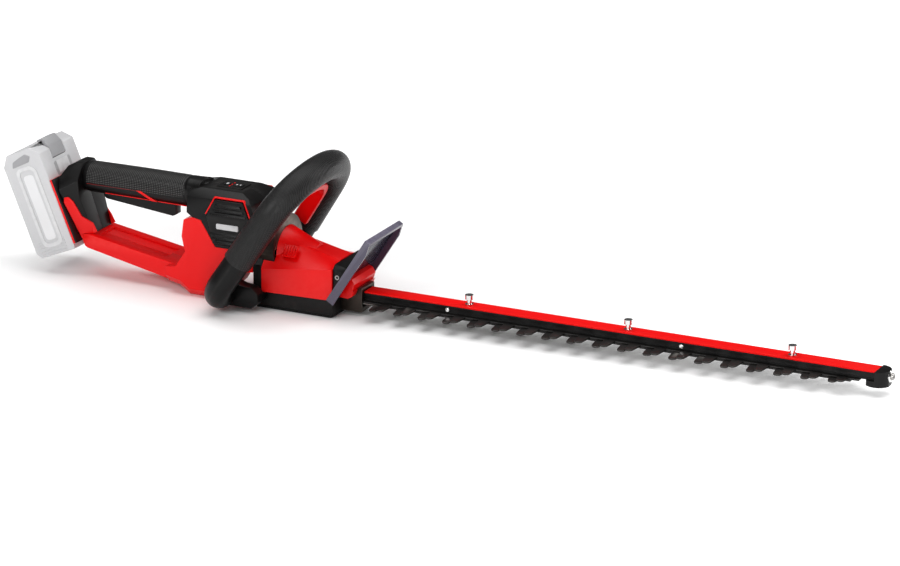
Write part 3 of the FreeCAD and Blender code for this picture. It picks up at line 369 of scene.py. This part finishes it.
# pieces
def cleanMesh(name, meshName):
    mesh = nodes[name].data.copy()
    mesh.name = meshName
    form = bmesh.new()
    form.from_mesh(mesh)
    bmesh.ops.remove_doubles(form, verts=form.verts, dist=2e-6)
    bmesh.ops.dissolve_limit(form, angle_limit=math.radians(1.0), verts=form.verts, edges=form.edges)
    form.to_mesh(mesh)
    form.free()
    return mesh


def applyModifiers(obj):
    depsgraph = bpy.context.evaluated_depsgraph_get()
    mesh = bpy.data.meshes.new_from_object(obj.evaluated_get(depsgraph))
    obj.modifiers.clear()
    obj.data = mesh


def softened(name, radius, segments=3, angle=25.0, edgeFinish=None):
    # the CAD shape with real rounded edges
    mesh = cleanMesh(name, name + "Form")
    piece = bpy.data.objects.new(name + "_shape", mesh)
    bpy.context.scene.collection.objects.link(piece)
    piece.matrix_world = nodes[name].matrix_world.copy()
    bevel = piece.modifiers.new("round", "BEVEL")
    bevel.width = radius
    bevel.segments = segments
    bevel.limit_method = "ANGLE"
    bevel.angle_limit = math.radians(angle)
    bevel.harden_normals = False
    bevel.use_clamp_overlap = True
    bevel.material = 1 if edgeFinish else -1
    weigh = piece.modifiers.new("weigh", "WEIGHTED_NORMAL")
    weigh.keep_sharp = True
    weigh.weight = 60
    applyModifiers(piece)
    piece.data.materials.clear()
    piece.data.materials.append(finishes[slots[name]])
    if edgeFinish:
        piece.data.materials.append(finishes[edgeFinish])
    smooth(piece)
    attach(piece, bodyOf[name])
    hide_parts(name)
    return piece


def smooth(piece, angle=35.0):
    piece.data.polygons.foreach_set("use_smooth", [True] * len(piece.data.polygons))
    piece.data.set_sharp_from_angle(angle=math.radians(angle))


roundings = {
    "frame_right": 1.2, "frame_left": 1.2, "housing_right": 1.8, "housing_left": 1.8, "front_cover": 0.7,
    "gear_case": 1.2, "bottom_cover": 1.0, "nose_cover": 1.6, "hand_guard": 0.9, "guard_holder": 1.0,
    "blade_bracket": 0.8, "battery_case": 3.0, "battery_latch": 0.8, "dock_rim": 0.9, "vent_panel_right": 0.4,
    "vent_panel_left": 0.4, "trigger": 1.6, "hoop_feet": 2.2, "red_accents": 0.7, "lock_slider": 0.35,
    "tip_guard": 1.0, "control_panel": 0.5, "swivel_ring": 1.0, "switch_bar": 1.8, "upper_blade": 0.45,
    "lower_blade": 0.45, "rail": 0.5, "rail_strip": 0.5,
}
groundEdges = {"upper_blade": "ground_steel", "lower_blade": "ground_steel"}
for name, radius in roundings.items():
    softened(name, radius * mm, edgeFinish=groundEdges.get(name))
print("rounded shells ready")

# builders for the detailed pieces
tilt = math.radians(22.5)  # the battery dock leans back by this
dockCentre = (-0.299, 0.078)  # x and z of the middle of the dock
guardLean = math.radians(33.0)
bothSides = ((-1, "right"), (1, "left"))
guardFoot = (0.042, 0.0244)  # x and z where the guard starts


def roundedOutline(points, radius, steps=5):
    # corners of a flat outline turned into short curves
    result = []
    count = len(points)
    for number in range(count):
        before, here, after = (Vector(points[(number + k) % count]) for k in (-1, 0, 1))
        back, ahead = before - here, after - here
        reach = min(radius, back.length * 0.48, ahead.length * 0.48)
        start, end = here + back.normalized() * reach, here + ahead.normalized() * reach
        for step in range(steps + 1):
            t = step / steps
            result.append(start * (1 - t) ** 2 + here * 2 * t * (1 - t) + end * t ** 2)
    return result


def finishPiece(piece, material, body, standsFor=(), angle=35.0):
    piece.data.materials.clear()
    piece.data.materials.append(finishes[material])
    smooth(piece, angle)
    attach(piece, body)
    if standsFor:
        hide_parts(*standsFor)
    return piece


def newPiece(name, form):
    mesh = bpy.data.meshes.new(name)
    bmesh.ops.recalc_face_normals(form, faces=form.faces)
    form.to_mesh(mesh)
    form.free()
    piece = bpy.data.objects.new(name, mesh)
    bpy.context.scene.collection.objects.link(piece)
    return piece


def plate(name, outline, place, low, high, edge, material, body, slotName=None, standsFor=()):
    # a flat-sided plate: outline in its own plane, place() puts (a, b, height) in the frame
    form = bmesh.new()
    bottom = [form.verts.new(place(a, b, low)) for a, b in outline]
    top = [form.verts.new(place(a, b, high)) for a, b in outline]
    form.faces.new(bottom)
    upper = form.faces.new(top)
    count = len(outline)
    for k in range(count):
        form.faces.new((bottom[k], bottom[(k + 1) % count], top[(k + 1) % count], top[k]))
    bmesh.ops.recalc_face_normals(form, faces=form.faces)
    if edge:
        bmesh.ops.bevel(form, geom=list(upper.edges), offset=edge, segments=3, profile=0.5, affect="EDGES")
    piece = newPiece(name, form)
    return finishPiece(piece, material, body, standsFor)


def sidePlace(side):
    # a plane that faces sideways: (x, z) and a distance out from Y = 0
    return lambda a, b, out: Vector((a, side * out, b))


def slopedPlace(side, start, slope):
    # like sidePlace, with a surface that falls inward above start, or below it when slope is negative
    return lambda a, b, out: Vector((a, side * (out - max(0.0, (b - start) * slope)), b))


def finPlace(side, foot, sink):
    # like sidePlace, with a fin that leans outward from its foot
    return lambda a, b, out: Vector((a, side * (out - (b - foot) * 0.5 + sink), b))


def flatPlace(a, b, out):
    return Vector((a, b, out))


def dockPlace(along, across, out):
    # the dock's own axes: up its face, across it and rearward out of it
    x = dockCentre[0] - along * math.sin(tilt) - out * math.cos(tilt)
    z = dockCentre[1] + along * math.cos(tilt) - out * math.sin(tilt)
    return Vector((x, across, z))


def dockSide(side):
    # one flank of the battery: distance behind the dock, height along it, and outward
    return lambda a, b, out: dockPlace(a, side * out, b)


def loft(name, rings, material, body, standsFor=(), closed=True):
    form = bmesh.new()
    loops = [[form.verts.new(point) for point in ring] for ring in rings]
    count = len(loops[0])
    for first, second in zip(loops, loops[1:]):
        for k in range(count):
            form.faces.new((first[k], first[(k + 1) % count], second[(k + 1) % count], second[k]))
    if closed:
        form.faces.new(loops[0])
        form.faces.new(list(reversed(loops[-1])))
    return finishPiece(newPiece(name, form), material, body, standsFor)


def turned(name, profile, base, axis, material, body, sides=32, socket=0):
    # a turned form: (radius, height) pairs round an axis, with an optional star socket
    axis = Vector(axis).normalized()
    side = axis.orthogonal().normalized()
    other = axis.cross(side)
    rings = []
    for number, (radius, height) in enumerate(profile):
        ring = []
        for k in range(sides):
            angle = 2 * math.pi * k / sides
            wave = 1 + 0.14 * math.cos(6 * angle) if socket and number >= len(profile) - socket else 1
            around = side * math.cos(angle) + other * math.sin(angle)
            ring.append(Vector(base) + axis * height + around * radius * wave)
        rings.append(ring)
    return loft(name, rings, material, body)


screwShape = {"head": 0.0031, "socket": 0.0015, "rise": 0.0003, "depth": 0.0012}


def screwHead(name, base, axis, body, material="steel", scale=1.0):
    head, socket = screwShape["head"] * scale, screwShape["socket"] * scale
    rise, depth = screwShape["rise"], screwShape["depth"]
    profile = [(head, -0.001), (head, rise * 0.3), (head * 0.93, rise), (socket * 1.15, rise),
               (socket, rise - 0.0001), (socket * 0.9, rise - depth)]
    return turned(name, profile, base, axis, material, body, socket=3)


# rear grip: an oval sleeve that swells for the palm and flares into the hood
gripShape = {"start": -0.2852, "end": -0.1255, "middle": 0.112, "half": 0.0172, "width": 0.0178,
             "flare": 0.0035, "palm": 0.0009, "tail": 0.0016, "lean": 0.18, "roundness": 0.86,
             "groove": 0.0009, "grooveAt": 0.865, "grooveHalf": 0.008, "rings": 64, "points": 72}


def gripSection(t):
    g = gripShape
    swell = math.sin(math.pi * min(1.0, t * 1.15)) * g["palm"]
    flare = g["flare"] * max(0.0, (t - 0.86) / 0.14) ** 2
    tail = g["tail"] * max(0.0, (0.06 - t) / 0.06) ** 2
    return g["half"] + swell * 0.4 - tail, g["width"] + swell + flare - tail, flare


def makeGrip():
    g = gripShape
    rings = []
    for number in range(g["rings"] + 1):
        t = number / g["rings"]
        half, width, flare = gripSection(t)
        ring = []
        for k in range(g["points"]):
            angle = 2 * math.pi * k / g["points"]
            c, n = math.cos(angle), math.sin(angle)
            y = width * math.copysign(abs(c) ** g["roundness"], c)
            z = half * math.copysign(abs(n) ** g["roundness"], n)
            slant = g["lean"] * (z + half) * max(0.0, (t - 0.6) / 0.4)  # leans with the collar
            groove = g["groove"] if abs(t - g["grooveAt"]) < g["grooveHalf"] else 0.0
            x = g["start"] + (g["end"] - g["start"]) * t - slant
            ring.append(Vector((x, y * (1 - groove / width), g["middle"] + z * (1 - groove / half))))
        rings.append(ring)
    sleeve = loft("rear_grip", rings, "sleeve_rubber", "rear_unit", ("grip_sleeve",))
    sleeve.data.materials.append(finishes["black_plastic"])
    for face in sleeve.data.polygons:
        place = face.center
        share = (place.x - g["start"]) / (g["end"] - g["start"])
        plain = place.z < g["middle"] - 0.004 or share > 0.84 or share < 0.05
        face.material_index = 1 if plain else 0
    return sleeve


makeGrip()

# the dock's rim: a thin red lip on the battery's side, black behind it
rim = bpy.data.objects["dock_rim_shape"]
rimShape = {"redFrom": -0.0030}
form = bmesh.new()
form.from_mesh(rim.data)
toward = rim.matrix_world.inverted().to_3x3()
cut = rim.matrix_world.inverted() @ dockPlace(0, 0, rimShape["redFrom"])
rearward = toward @ Vector((-math.cos(tilt), 0, -math.sin(tilt)))
whole = form.verts[:] + form.edges[:] + form.faces[:]
bmesh.ops.bisect_plane(form, geom=whole, plane_co=cut, plane_no=rearward)
for face in form.faces:
    face.material_index = 0 if (face.calc_center_median() - cut).dot(rearward) > 0 else 1
form.to_mesh(rim.data)
form.free()
rim.data.materials.append(finishes["black_plastic"])

# a fine dark line along the grip, a red slash, and a thin red line above the trigger
inlay = {"line": [(-0.276, 0.1080), (-0.209, 0.1080), (-0.209, 0.1087), (-0.276, 0.1087)],
         "slash": [(-0.2115, 0.1087), (-0.2055, 0.1087), (-0.1860, 0.0975), (-0.1935, 0.0975)],
         "under": [(-0.255, 0.0980), (-0.150, 0.0968), (-0.150, 0.0977), (-0.255, 0.0989)],
         "slope": (0.1075, -0.40), "lineOut": (0.0140, 0.0192), "slashOut": (0.0140, 0.0196),
         "underOut": (0.009, 0.0138), "edge": 0.0002, "slashEdge": 0.0003}
for side, word in bothSides:
    plate("grip_line_" + word, inlay["line"], sidePlace(side), *inlay["lineOut"], inlay["edge"], "dark_red",
          "rear_unit", "red_plastic", ("grip_trims",))
    plate("grip_slash_" + word, inlay["slash"], slopedPlace(side, *inlay["slope"]), *inlay["slashOut"],
          inlay["slashEdge"], "red_plastic", "rear_unit")
    plate("grip_underline_" + word, inlay["under"], sidePlace(side), *inlay["underOut"], inlay["edge"],
          "red_plastic", "rear_unit")
print("rear grip ready")

# vents: slanted fins in the side panels, a thin red frame line and a plain badge
ventShape = {"x": (-0.1000, -0.0670), "top": (0.1010, 0.0052, 3), "low": (0.0690, 0.0046, 3),
             "out": (0.0352, 0.0404), "edge": 0.0004, "grow": 0.0035, "height": 0.0030, "taper": 0.002,
             "corner": 0.0008, "stand": 0.0008, "narrowing": 0.055}
badgeShape = {"outline": [(-0.098, 0.0850), (-0.070, 0.0850), (-0.070, 0.0915), (-0.098, 0.0915)],
              "corner": 0.0018, "out": (0.0375, 0.0394), "edge": 0.0003}
stripeShape = {"outline": [(-0.1130, 0.1003), (-0.1030, 0.1203), (-0.0650, 0.1203), (-0.0535, 0.0985),
                           (-0.0553, 0.0985), (-0.0662, 0.1188), (-0.1018, 0.1188), (-0.1112, 0.1003)],
               "slope": (0.096, 0.215), "out": (0.0360, 0.0387), "edge": 0.0003}
for side, word in bothSides:
    for bank, rows in (("upper", ventShape["top"]), ("lower", ventShape["low"])):
        base, step, count = rows
        for number in range(count):
            z = base + step * number
            grow = ventShape["grow"] * (number if bank == "lower" else count - 1 - number)
            x0, x1 = ventShape["x"][0] - grow, ventShape["x"][1] + grow
            roof, taper = z + ventShape["height"], ventShape["taper"]
            outline = [(x0, z), (x1, z), (x1 - taper, roof), (x0 + taper, roof)]
            stand = ventShape["stand"] if bank == "upper" else 0.0
            sink = stand - (z - ventShape["low"][0]) * ventShape["narrowing"]
            plate("vent_fin_%s_%s_%d" % (word, bank, number), roundedOutline(outline, ventShape["corner"], 3),
                  finPlace(side, z, sink), *ventShape["out"], ventShape["edge"], "black_plastic", "rear_unit")
    badge = roundedOutline(badgeShape["outline"], badgeShape["corner"])
    plate("plain_badge_" + word, badge, sidePlace(side), *badgeShape["out"], badgeShape["edge"],
          "grey_plastic", "rear_unit", "grey_plastic", ("side_badges",))
    plate("vent_stripe_" + word, stripeShape["outline"], slopedPlace(side, *stripeShape["slope"]),
          *stripeShape["out"], stripeShape["edge"], "red_plastic", "rear_unit")
print("vents ready")

# control panel on the hood: keys with plain marks and a row of lights
panelShape = {"marks": [(-0.1035, 0.0, 0.0012), (-0.0918, 0.0, 0.0008), (-0.0872, 0.0, 0.0008)],
              "markOut": (0.1262, 0.1270), "lamps": 3, "lampX": -0.0985, "lampPitch": 0.0060,
              "lampHalf": 0.0016, "lampWide": 0.0011, "lampCorner": 0.0004, "lampOut": (0.1255, 0.1266),
              "edge": 0.0001}
for number, (x, y, half) in enumerate(panelShape["marks"]):
    outline = roundedOutline([(x - half, y - half * 2), (x + half, y - half * 2), (x + half, y + half * 2),
                              (x - half, y + half * 2)], half * 0.6)
    plate("panel_mark_%d" % number, outline, flatPlace, *panelShape["markOut"], panelShape["edge"],
          "grey_plastic", "power_button" if number == 0 else "mode_button")
for number in range(panelShape["lamps"]):
    x = panelShape["lampX"]
    y = panelShape["lampPitch"] * (number - 1)
    low, high, far = y - panelShape["lampHalf"], y + panelShape["lampHalf"], x + panelShape["lampWide"]
    lamp = roundedOutline([(x, low), (far, low), (far, high), (x, high)], panelShape["lampCorner"])
    plate("panel_light_%d" % number, lamp, flatPlace, *panelShape["lampOut"], panelShape["edge"],
          "red_plastic", "rear_unit")

# battery: side recess frames, a plain label and ribs
packShape = {
    "outer": [(-0.036, 0.012), (0.054, 0.012), (0.060, 0.018), (0.060, 0.040), (-0.036, 0.040)],
    "inner": [(-0.032, 0.016), (0.052, 0.016), (0.056, 0.020), (0.056, 0.036), (-0.032, 0.036)],
    "label": [(-0.028, 0.019), (0.050, 0.019), (0.050, 0.033), (-0.028, 0.033)],
    "facet": [(0.0640, 0.0180), (0.0700, 0.0140), (0.0740, 0.0200), (0.0690, 0.0390), (0.0620, 0.0420)],
    "outerCorner": 0.009, "innerCorner": 0.007, "labelCorner": 0.005, "facetCorner": 0.0015,
    "frameOut": (0.0372, 0.0388), "labelOut": (0.0370, 0.0383), "facetOut": (0.0372, 0.0387),
    "ribs": 5, "ribStart": -0.044, "ribPitch": 0.0035, "ribWide": 0.0016, "ribRise": (0.010, 0.046),
    "ribCorner": 0.0006, "ribOut": (0.0372, 0.0386), "edge": 0.0003, "facetEdge": 0.0004,
    "steps": ((0.038, 0.054, 0.017), (0.024, 0.034, 0.012)), "stepCorner": 0.003, "stepOut": (0.0001, 0.0016),
}
for side, word in bothSides:
    place = dockSide(side)
    outer = roundedOutline(packShape["outer"], packShape["outerCorner"], 8)
    inner = roundedOutline(packShape["inner"], packShape["innerCorner"], 8)
    face, proud = packShape["frameOut"]
    ringForm = bmesh.new()
    rows = [[ringForm.verts.new(place(a, b, out)) for a, b in line]
            for line, out in ((outer, face), (outer, proud), (inner, proud), (inner, face))]
    for first, second in zip(rows, rows[1:] + rows[:1]):
        for k in range(len(first)):
            after = (k + 1) % len(first)
            ringForm.faces.new((first[k], first[after], second[after], second[k]))
    finishPiece(newPiece("battery_frame_" + word, ringForm), "grey_plastic", "battery")
    label = roundedOutline(packShape["label"], packShape["labelCorner"], 6)
    plate("battery_label_" + word, label, place, *packShape["labelOut"], packShape["edge"], "pale_label",
          "battery", "grey_plastic")
    for number in range(packShape["ribs"]):
        start = packShape["ribStart"] + packShape["ribPitch"] * number
        end = start + packShape["ribWide"]
        low, high = packShape["ribRise"]
        rib = [(start, low), (end, low), (end, high), (start, high)]
        plate("battery_rib_%s_%d" % (word, number), roundedOutline(rib, packShape["ribCorner"], 3), place,
              *packShape["ribOut"], packShape["edge"], "grey_plastic", "battery")
print("battery ready")

# darker latch and a stepped panel on the battery's upper front; the panel and the flank facets are painted
# shade in a darker grey
latch = bpy.data.objects["battery_latch_shape"]
latch.data.materials[0] = finishes["shade_grey"]
for number, (low, high, half) in enumerate(packShape["steps"]):
    outline = [(low, -half), (high, -half), (high, half), (low, half)]
    plate("battery_panel_%d" % number, roundedOutline(outline, packShape["stepCorner"], 6), dockPlace,
          *packShape["stepOut"], packShape["edge"], "shade_grey", "battery", "grey_plastic")
for side, word in bothSides:
    facet = roundedOutline(packShape["facet"], packShape["facetCorner"], 4)
    plate("battery_facet_" + word, facet, dockSide(side), *packShape["facetOut"], packShape["facetEdge"],
          "shade_grey", "battery", "grey_plastic")


# the guard's front face: a darker inner panel that paints the shade inside the guard's rim
def guardPlace(along, across, out):
    x = guardFoot[0] + along * math.sin(guardLean) + out * math.cos(guardLean)
    z = guardFoot[1] + along * math.cos(guardLean) - out * math.sin(guardLean)
    return Vector((x, across, z))


guardPanel = {"outline": [(0.030, -0.0375), (0.0835, -0.0375), (0.0835, 0.0375), (0.030, 0.0375)],
              "corner": 0.003, "out": (0.0024, 0.0031), "edge": 0.0002}
plate("guard_inner_shade", roundedOutline(guardPanel["outline"], guardPanel["corner"], 5), guardPlace,
      *guardPanel["out"], guardPanel["edge"], "smoke_inner", "front_unit", "smoke_plastic")

# fasteners on the shells, and the cap at the front end of the rail
fasteners = {"frame": ((-0.118, 0.0381, 0.018), (-0.132, 0.0381, 0.062)), "bar": (-0.245, 0.0261, 0.038),
             "nose": (0.0505, 0.0331, 0.0475), "noseScale": 0.9}
for number, base in enumerate(fasteners["frame"]):
    screwHead("frame_screw_left_%d" % number, base, (0, 1, 0), "rear_unit")
screwHead("bar_screw_left", fasteners["bar"], (0, 1, 0), "rear_unit")
for side, word in bothSides:
    x, out, z = fasteners["nose"]
    screwHead("nose_screw_" + word, (x, side * out, z), (0, side, 0), "front_unit", "steel",
              fasteners["noseScale"])
capShape = {"base": (0.6912, 0, 0.0215),
            "profile": [(0.0062, -0.0022), (0.0066, -0.0004), (0.0058, 0.0006), (0.0040, 0.0009),
                        (0.0036, 0.0002)]}
turned("tip_cap", capShape["profile"], capShape["base"], (1, 0, 0), "chrome", "front_unit")
print("fasteners ready")
